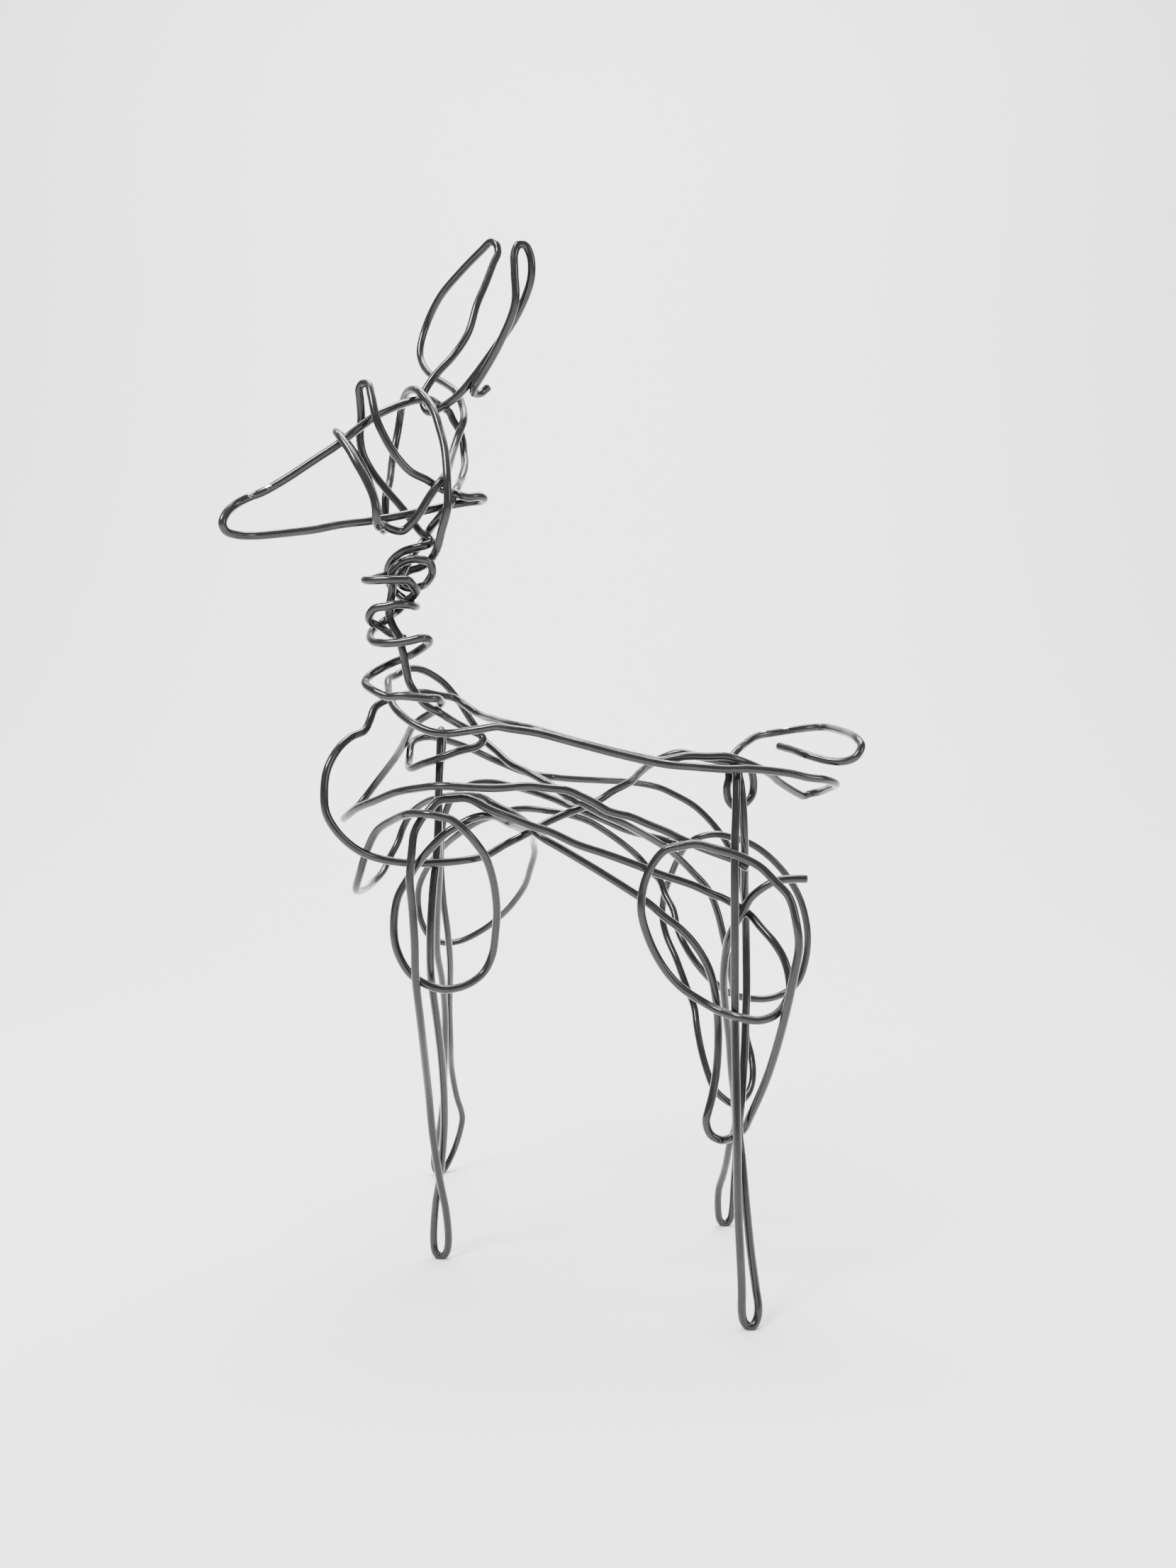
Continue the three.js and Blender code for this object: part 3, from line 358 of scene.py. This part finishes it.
TAIL = [
    (0.0475, -0.016, 0.1375), (0.05, -0.02, 0.1365), (0.053, -0.025, 0.135), (0.058, -0.028, 0.1335),
    (0.0615, -0.03, 0.1335), (0.0635, -0.031, 0.1345), (0.065, -0.03, 0.137), (0.0645, -0.027, 0.139),
    (0.063, -0.019, 0.141), (0.0595, -0.01, 0.1425), (0.054, -0.011, 0.142), (0.0475, -0.012, 0.141),
    (0.0425, -0.014, 0.14), (0.039, -0.017, 0.138), (0.037, -0.02, 0.1365),
]

RUMP_RING = [
    (0.0355, -0.022, 0.135), (0.034, -0.025, 0.132), (0.034, -0.026, 0.1295), (0.0335, -0.026, 0.127),
    (0.034, -0.0255, 0.124), (0.0355, -0.025, 0.1225), (0.038, -0.023, 0.123), (0.04, -0.022, 0.125),
    (0.0405, -0.022, 0.1275), (0.04, -0.023, 0.1305), (0.039, -0.0245, 0.1325),
    (0.0375, -0.0265, 0.133), (0.036, -0.028, 0.132),
]

NEAR_HIND_LEG = [
    (0.036, -0.0285, 0.1305), (0.0365, -0.029, 0.1275), (0.037, -0.029, 0.122), (0.0375, -0.028, 0.113),
    (0.038, -0.0245, 0.103), (0.0385, -0.0225, 0.0945), (0.0385, -0.024, 0.0775),
    (0.038, -0.026, 0.071), (0.0375, -0.028, 0.0645), (0.0365, -0.031, 0.055), (0.0355, -0.033, 0.047),
    (0.036, -0.035, 0.04), (0.0375, -0.038, 0.021), (0.0385, -0.0395, 0.0125), (0.039, -0.0405, 0.008),
    (0.0385, -0.041, 0.0055), (0.0375, -0.0415, FOOT_HEIGHT), (0.0365, -0.0415, FOOT_HEIGHT),
    (0.0355, -0.0415, 0.0055), (0.035, -0.042, 0.008), (0.035, -0.042, 0.013), (0.0345, -0.0395, 0.031),
    (0.0345, -0.0375, 0.047), (0.0345, -0.034, 0.0725), (0.0345, -0.0335, 0.0955),
    (0.0345, -0.0335, 0.1125), (0.035, -0.0325, 0.127), (0.035, -0.031, 0.1315), (0.034, -0.03, 0.133),
]

LOWER_BACK_LINE = [
    (0.0315, -0.0295, 0.1335), (0.0265, -0.0285, 0.1345), (0.022, -0.0275, 0.1355),
    (0.0185, -0.0265, 0.1345), (0.0155, -0.024, 0.133), (0.013, -0.019, 0.131),
    (0.0105, -0.014, 0.1285), (0.006, -0.011, 0.126), (0.003, -0.0105, 0.124), (-0.0015, -0.011, 0.122),
    (-0.0055, -0.012, 0.1205), (-0.011, -0.014, 0.118), (-0.0155, -0.017, 0.1155),
    (-0.0205, -0.02, 0.113), (-0.025, -0.0225, 0.1105),
]

BREAST = [
    (-0.03, -0.0245, 0.1095), (-0.036, -0.0255, 0.109), (-0.044, -0.026, 0.109), (-0.05, -0.027, 0.11),
    (-0.0545, -0.029, 0.112), (-0.059, -0.0305, 0.116), (-0.062, -0.031, 0.121),
    (-0.0625, -0.031, 0.1265), (-0.062, -0.03, 0.1315), (-0.06, -0.027, 0.1365),
    (-0.0575, -0.0235, 0.1395), (-0.055, -0.021, 0.141), (-0.054, -0.019, 0.1435),
    (-0.053, -0.017, 0.147), (-0.0505, -0.015, 0.149),
]

WITHERS = [
    (-0.0465, -0.012, 0.1505), (-0.0425, -0.008, 0.1515), (-0.0385, -0.004, 0.151),
    (-0.035, -0.0015, 0.1505), (-0.029, -0.005, 0.1465), (-0.023, -0.016, 0.144),
    (-0.0185, -0.024, 0.1425),
]

BACK_LINE = [
    (-0.0125, -0.029, 0.141), (-0.0025, -0.031, 0.138), (0.007, -0.031, 0.1355), (0.014, -0.031, 0.134),
    (0.017, -0.0315, 0.1335), (0.02, -0.032, 0.134), (0.023, -0.0325, 0.1345), (0.0285, -0.033, 0.1345),
    (0.0325, -0.033, 0.1345), (0.036, -0.032, 0.1335), (0.039, -0.03, 0.1325), (0.044, -0.025, 0.1305),
    (0.047, -0.021, 0.1285), (0.053, -0.014, 0.1255),
]

RUMP_POINT = [
    (0.0545, -0.0125, 0.125), (0.056, -0.0125, 0.1255), (0.058, -0.014, 0.126), (0.0595, -0.019, 0.127),
    (0.06, -0.025, 0.128), (0.0565, -0.03, 0.129), (0.052, -0.032, 0.1295), (0.0475, -0.033, 0.1305),
]

UPPER_BACK_LINE = [
    (0.038, -0.0345, 0.1315), (0.0315, -0.035, 0.1315), (0.025, -0.035, 0.132),
    (0.019, -0.0345, 0.1325), (0.0135, -0.034, 0.1335), (0.007, -0.034, 0.135),
    (-0.0025, -0.034, 0.1375), (-0.012, -0.0335, 0.14), (-0.0185, -0.033, 0.141),
    (-0.0215, -0.0325, 0.1415), (-0.025, -0.032, 0.141), (-0.0285, -0.0315, 0.1405),
    (-0.033, -0.0305, 0.14), (-0.0375, -0.029, 0.1405), (-0.042, -0.027, 0.1425),
]

SHOULDER_TOP = [
    (-0.0455, -0.0245, 0.145), (-0.0475, -0.022, 0.147), (-0.049, -0.019, 0.1495),
    (-0.05, -0.015, 0.152), (-0.0505, -0.0115, 0.1545), (-0.049, -0.008, 0.156),
    (-0.047, -0.006, 0.1575), (-0.045, -0.004, 0.158), (-0.0425, -0.002, 0.1575),
    (-0.0385, 0.001, 0.155), (-0.0355, 0.004, 0.1515), (-0.0335, 0.0055, 0.1485),
    (-0.032, 0.006, 0.146), (-0.03, 0.006, 0.143),
]

INNER_SIDE_LINE = [
    (-0.0275, 0.004, 0.1395), (-0.024, 0.001, 0.1365), (-0.0205, -0.002, 0.1335),
    (-0.0155, -0.005, 0.131), (-0.01, -0.008, 0.128), (-0.0055, -0.012, 0.125), (-0.001, -0.015, 0.123),
    (0.0035, -0.014, 0.1205), (0.009, -0.01, 0.118), (0.016, -0.002, 0.114), (0.0215, 0.004, 0.1105),
    (0.0245, 0.007, 0.108), (0.028, 0.009, 0.1045), (0.0325, 0.0095, 0.0995), (0.035, 0.009, 0.0935),
]

FAR_HIND_LEG = [
    (0.037, 0.0085, 0.085), (0.039, 0.009, 0.075), (0.0405, 0.012, 0.063), (0.041, 0.016, 0.0465),
    (0.0415, 0.0185, 0.0305), (0.041, 0.021, 0.016), (0.0405, 0.0215, 0.0075), (0.04, 0.0215, 0.0055),
    (0.039, 0.0215, FOOT_HEIGHT), (0.038, 0.0215, FOOT_HEIGHT), (0.037, 0.021, 0.0055),
    (0.0365, 0.0205, 0.0085), (0.0365, 0.019, 0.0145), (0.0375, 0.016, 0.02), (0.038, 0.013, 0.0245),
    (0.0385, 0.0095, 0.0305), (0.0395, 0.007, 0.0355), (0.0385, 0, 0.045), (0.037, -0.006, 0.054),
    (0.036, -0.01, 0.0625), (0.0345, -0.015, 0.0715), (0.0335, -0.019, 0.079), (0.0335, -0.023, 0.0865),
    (0.034, -0.026, 0.091),
]

HIP = [
    (0.0355, -0.0285, 0.095), (0.037, -0.029, 0.0975), (0.0385, -0.0295, 0.1005),
    (0.041, -0.0305, 0.103), (0.0445, -0.031, 0.105), (0.0485, -0.031, 0.1055), (0.052, -0.031, 0.1055),
]

HEAD_AND_NECK_ROUTE = [
    *NEAR_EAR, *FAR_EAR, *BACK_OF_HEAD, *MUZZLE_RING, *BROW, *NAPE, *NECK_COILS, *CHEST_POINT,
    *NEAR_SIDE_LINE,
]

MUZZLE_AND_LEGS_ROUTE = [
    *NECK_THROAT, *FOREHEAD_LOOP, *MUZZLE, *CHEEK_TO_KNOT, *THROAT_LOOP, *SPINE, *SHOULDER_BLADE,
    *FAR_BACK_LINE, *FAR_HOCK, *FAR_HAUNCH, *FAR_BELLY_LINE, *FAR_SHOULDER, *NEAR_SHOULDER, *ELBOW,
    *NEAR_BELLY_LINE, *NEAR_HOCK, *NEAR_HAUNCH, *NEAR_FLANK_LINE, *NEAR_FRONT_LEG, *FAR_FRONT_LEG,
    *FAR_SIDE_LINE,
]

BACK_AND_TAIL_ROUTE = [
    *TAIL, *RUMP_RING, *NEAR_HIND_LEG, *LOWER_BACK_LINE, *BREAST, *WITHERS, *BACK_LINE, *RUMP_POINT,
    *UPPER_BACK_LINE, *SHOULDER_TOP, *INNER_SIDE_LINE, *FAR_HIND_LEG, *HIP,
]


# ---- geometry ----------------------------------------------------------------------------------
def spline_points(route):
    """A centripetal Catmull-Rom curve through the bend points, as a fine walk of points."""
    bends = [Vector(p) for p in route]
    ends = [2 * bends[0] - bends[1]] + bends + [2 * bends[-1] - bends[-2]]
    walk = []
    for before, start, finish, after in zip(ends, ends[1:], ends[2:], ends[3:]):
        gap_a = (start - before).length ** 0.5
        gap_b = (finish - start).length ** 0.5
        gap_c = (after - finish).length ** 0.5
        lead = (start - before) / gap_a - (finish - before) / (gap_a + gap_b) + (finish - start) / gap_b
        trail = (finish - start) / gap_b - (after - start) / (gap_b + gap_c) + (after - finish) / gap_c
        lead *= gap_b
        trail *= gap_b
        for k in range(WALK):
            t = k / WALK
            square = -3 * start + 3 * finish - 2 * lead - trail
            cube = 2 * start - 2 * finish + lead + trail
            walk.append(start + lead * t + square * t * t + cube * t ** 3)
    walk.append(bends[-1])
    return walk


def sections_along(walk):
    """Places along the walk, closer together in a bend than on a straight run."""
    travelled = [0.0]
    for k in range(1, len(walk)):
        share = (walk[k] - walk[k - 1]).length / STEP
        if 1 < k:
            share += (walk[k] - walk[k - 1]).angle(walk[k - 1] - walk[k - 2], 0) / TURN
        travelled.append(travelled[-1] + share)
    count = math.ceil(travelled[-1])
    places = []
    low = 0
    for k in range(count + 1):
        wanted = travelled[-1] * k / count
        while low < len(travelled) - 2 and travelled[low + 1] < wanted:
            low += 1
        within = (wanted - travelled[low]) / (travelled[low + 1] - travelled[low])
        places.append(walk[low].lerp(walk[low + 1], min(1.0, within)))
    return places


def ring_frames(places):
    """A direction along the wire and one across it at each place, turned as little as possible."""
    tangents = []
    for k in range(len(places)):
        ahead = places[min(k + 1, len(places) - 1)]
        behind = places[max(k - 1, 0)]
        tangents.append((ahead - behind).normalized())
    across = tangents[0].orthogonal().normalized()
    frames = []
    for tangent in tangents:
        across = (across - tangent * across.dot(tangent)).normalized()
        frames.append((tangent, across))
    return frames


def bareness(point, chips):
    """How far the coating is gone at a point of the route: 1 is bare metal, 0 is whole coating."""
    most = 0.0
    for place, reach in chips:
        away = (point - Vector(place)).length / reach
        most = max(most, min(1.0, max(0.0, CHIP_FADE - CHIP_FADE * away)))
    return most


def wire_rings(route):
    """Place, direction, crosswise direction and radius of each ring, with a bevel at both ends."""
    places = sections_along(spline_points(route))
    rings = [(place, *turned, WIRE_RADIUS) for place, turned in zip(places, ring_frames(places))]
    start, along_start, across_start, _ = rings[0]
    finish, along_finish, across_finish, _ = rings[-1]
    narrow = WIRE_RADIUS - END_BEVEL
    rings[0] = (start + along_start * END_BEVEL, along_start, across_start, WIRE_RADIUS)
    rings[-1] = (finish - along_finish * END_BEVEL, along_finish, across_finish, WIRE_RADIUS)
    rings.insert(0, (start, along_start, across_start, narrow))
    rings.append((finish, along_finish, across_finish, narrow))
    return rings


def wire_mesh(name, route, shift, chips, stands):
    """A round wire along the route, its feet flattened on the floor if it stands."""
    mesh = bmesh.new()
    bare = mesh.verts.layers.float.new("bare")
    loops = []
    for place, tangent, across, radius in wire_rings(route):
        side = tangent.cross(across)
        loop = []
        for k in range(SIDES):
            angle = 2 * math.pi * k / SIDES
            point = place + (across * math.cos(angle) + side * math.sin(angle)) * radius
            if stands:
                point.z = max(point.z, FLOOR_LEVEL)
            vertex = mesh.verts.new(point + shift)
            vertex[bare] = bareness(point, chips)
            loop.append(vertex)
        loops.append(loop)
    for here, there in zip(loops, loops[1:]):
        for k in range(SIDES):
            after = (k + 1) % SIDES
            mesh.faces.new((here[k], here[after], there[after], there[k])).smooth = True
    for loop, backwards in ((loops[0], True), (loops[-1], False)):
        for vertex in loop:
            vertex[bare] = 1.0
        mesh.faces.new(list(reversed(loop)) if backwards else loop)
    data = bpy.data.meshes.new(name)
    mesh.to_mesh(data)
    mesh.free()
    piece = bpy.data.objects.new(name, data)
    bpy.context.scene.collection.objects.link(piece)
    return piece


# ---- materials ---------------------------------------------------------------------------------
def coated_wire():
    """Near-black lacquer with fine orange peel, rubbed duller in places, bright metal under it."""
    material = bpy.data.materials.new("black_wire")
    material.use_nodes = True
    nodes = material.node_tree.nodes
    links = material.node_tree.links
    shader = nodes["Principled BSDF"]
    place = nodes.new("ShaderNodeTexCoord")

    def noise(scale, detail, name):
        node = nodes.new("ShaderNodeTexNoise")
        node.name = name
        node.inputs["Scale"].default_value = scale
        node.inputs["Detail"].default_value = detail
        links.new(place.outputs["Object"], node.inputs["Vector"])
        return node

    def ramp(source, low, high, place_low=0.35, place_high=0.68):
        node = nodes.new("ShaderNodeMapRange")
        node.inputs["From Min"].default_value = place_low
        node.inputs["From Max"].default_value = place_high
        node.inputs["To Min"].default_value = low
        node.inputs["To Max"].default_value = high
        links.new(source, node.inputs["Value"])
        return node.outputs["Result"]

    def blend(factor, first, second):
        """Two colours, each a value or another node's output, mixed by a factor."""
        node = nodes.new("ShaderNodeMix")
        node.data_type = "RGBA"
        links.new(factor, node.inputs["Factor"])
        sockets = [s for s in node.inputs if s.name in ("A", "B") and s.enabled]
        for socket, colour in zip(sockets, (first, second)):
            if isinstance(colour, tuple):
                socket.default_value = (*colour, 1.0)
            else:
                links.new(colour, socket)
        return [s for s in node.outputs if s.enabled][0]

    bare = nodes.new("ShaderNodeAttribute")
    bare.attribute_name = "bare"
    ragged = noise(2600.0, 4.0, "ragged_edge")
    edge = nodes.new("ShaderNodeMath")
    edge.operation = "ADD"
    links.new(bare.outputs["Fac"], edge.inputs[0])
    links.new(ramp(ragged.outputs["Fac"], -0.45, 0.45), edge.inputs[1])
    mask = ramp(edge.outputs["Value"], 0.0, 1.0, *CHIP_EDGE)

    tint = noise(140.0, 3.0, "tint")
    lacquer = blend(ramp(tint.outputs["Fac"], 0.0, 1.0), COOL_BLACK, WARM_BLACK)
    links.new(blend(mask, lacquer, BARE_METAL), shader.inputs["Base Color"])
    links.new(mask, shader.inputs["Metallic"])

    rubbed = noise(420.0, 5.0, "rubbed")
    links.new(ramp(rubbed.outputs["Fac"], *ROUGHNESS), shader.inputs["Roughness"])
    shader.inputs["Specular IOR Level"].default_value = SPECULAR
    links.new(ramp(edge.outputs["Value"], COAT, 0.0, *CHIP_EDGE), shader.inputs["Coat Weight"])
    shader.inputs["Coat Roughness"].default_value = COAT_ROUGHNESS

    peel = noise(1500.0, 3.0, "orange_peel")
    bump = nodes.new("ShaderNodeBump")
    bump.inputs["Strength"].default_value = PEEL_STRENGTH
    bump.inputs["Distance"].default_value = PEEL_DEPTH
    links.new(peel.outputs["Fac"], bump.inputs["Height"])
    links.new(bump.outputs["Normal"], shader.inputs["Normal"])
    return material


def plain(name, colour, roughness):
    material = bpy.data.materials.new(name)
    material.use_nodes = True
    shader = material.node_tree.nodes["Principled BSDF"]
    shader.inputs["Base Color"].default_value = (*colour, 1.0)
    shader.inputs["Roughness"].default_value = roughness
    return material


# ---- the deer ----------------------------------------------------------------------------------
# Places where the coating is chipped to bright metal, with the reach of each chip.
HEAD_CHIPS = [
    ((-0.0403, 0.008, 0.2595), 0.0009),
    ((-0.0528, -0.0300, 0.1525), 0.0008),
]
MUZZLE_CHIPS = [
    ((-0.0785, -0.0368, 0.1957), 0.0016),
    ((-0.0745, -0.0362, 0.1975), 0.0011),
]
TAIL_CHIPS = [
    ((0.0385, -0.0172, 0.1385), 0.0010),
    ((0.0440, -0.0135, 0.1412), 0.0011),
    ((0.0500, -0.0118, 0.1422), 0.0012),
    ((0.0545, -0.0122, 0.1256), 0.0010),
    ((0.0535, -0.0107, 0.1428), 0.0009),
]

WIRES = [
    ("head_and_neck_wire", HEAD_AND_NECK_ROUTE, HEAD_CHIPS, False),
    ("muzzle_and_legs_wire", MUZZLE_AND_LEGS_ROUTE, MUZZLE_CHIPS, True),
    ("back_and_tail_wire", BACK_AND_TAIL_ROUTE, TAIL_CHIPS, True),
]


def middle_of_wires():
    """The middle of the three wires over the floor, in the frame of the bend points."""
    points = [p for _, route, _, _ in WIRES for p in spline_points(route)]
    across = [(min(p[k] for p in points) + max(p[k] for p in points)) / 2 for k in (0, 1)]
    return Vector((across[0], across[1], FLOOR_LEVEL))


low, high = BOX_AT_START
centre = Vector(((low[0] + high[0]) / 2, (low[1] + high[1]) / 2, low[2]))
SHIFT = centre - middle_of_wires()
coating = coated_wire()
for node, route, chips, stands in WIRES:
    wire = wire_mesh(node + "_round", route, SHIFT, chips, stands)
    wire.data.materials.append(coating)
    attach(wire, "root")
    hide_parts(node)


# ---- floor, backdrop, light and camera ---------------------------------------------------------
def studio_sweep():
    """A pale sheet that lies under the deer and curves up behind it."""
    half_width, front, back, rise, bend = 3.0, -2.0, 1.1, 2.6, 0.8
    profile = [(front, 0.0), (back - bend, 0.0)]
    arc_steps = 16
    for k in range(1, arc_steps + 1):
        angle = math.pi / 2 * k / arc_steps
        profile.append((back - bend + bend * math.sin(angle), bend - bend * math.cos(angle)))
    profile.append((back, rise))
    data = bpy.data.meshes.new("studio_sweep")
    verts = [(x, y, z + low[2]) for y, z in profile for x in (-half_width, half_width)]
    faces = [(2 * k, 2 * k + 1, 2 * k + 3, 2 * k + 2) for k in range(len(profile) - 1)]
    data.from_pydata(verts, [], faces)
    for face in data.polygons:
        face.use_smooth = True
    sweep = bpy.data.objects.new("studio_sweep", data)
    bpy.context.scene.collection.objects.link(sweep)
    data.materials.append(plain("white_paper", (0.93, 0.925, 0.915), 0.9))


def area_light(name, place, aim, size, power, colour):
    """A softbox at a place, turned to what it lights."""
    data = bpy.data.lights.new(name, "AREA")
    data.shape = "RECTANGLE"
    data.size, data.size_y = size
    data.energy = power
    data.color = colour
    light = bpy.data.objects.new(name, data)
    light.location = place
    light.rotation_euler = (Vector(aim) - Vector(place)).to_track_quat("-Z", "Y").to_euler()
    bpy.context.scene.collection.objects.link(light)


studio_sweep()
HEART = (0.0, 0.0, 0.13)
BACKDROP_MIDDLE = (0.0, 1.1, 0.5)
WHITE, WARM_WHITE, COOL_WHITE = (1.0, 1.0, 1.0), (1.0, 0.98, 0.95), (0.94, 0.98, 1.0)
# Name, place, what it lights, width and height, power in watts and colour.
SOFTBOXES = [
    ("key_softbox", (-0.45, -0.55, 0.95), HEART, (0.28, 0.28), 16.0, WHITE),
    ("fill_softbox", (0.9, -0.6, 0.5), HEART, (0.35, 0.5), 4.0, WARM_WHITE),
    ("top_softbox", (0.0, 0.1, 1.2), HEART, (0.5, 0.5), 20.0, COOL_WHITE),
    ("backdrop_wash", (0.0, 0.35, 1.3), BACKDROP_MIDDLE, (1.6, 0.5), 26.0, WHITE),
]
for softbox in SOFTBOXES:
    area_light(*softbox)

ROOM_COLOUR = (0.95, 0.97, 1.0, 1.0)
ROOM_STRENGTH = 0.75
world = bpy.data.worlds.new("soft_room")
world.use_nodes = True
room = world.node_tree.nodes["Background"]
room.inputs["Color"].default_value = ROOM_COLOUR
room.inputs["Strength"].default_value = ROOM_STRENGTH
bpy.context.scene.world = world

SENSOR = 36.0               # millimetres, across the width of the image
FOCAL_IN_WIDTHS = 1.0012    # focal length over image width
CAMERA_PLACE = Vector((0.0, -0.310, 0.128)) + SHIFT     # level, before the deer's near side
camera_data = bpy.data.cameras.new("camera")
camera_data.sensor_fit = "HORIZONTAL"
camera_data.sensor_width = SENSOR
camera_data.lens = SENSOR * FOCAL_IN_WIDTHS
camera = bpy.data.objects.new("camera", camera_data)
camera.location = CAMERA_PLACE
camera.rotation_euler = (math.pi / 2, 0.0, 0.0)
bpy.context.scene.collection.objects.link(camera)
bpy.context.scene.camera = camera
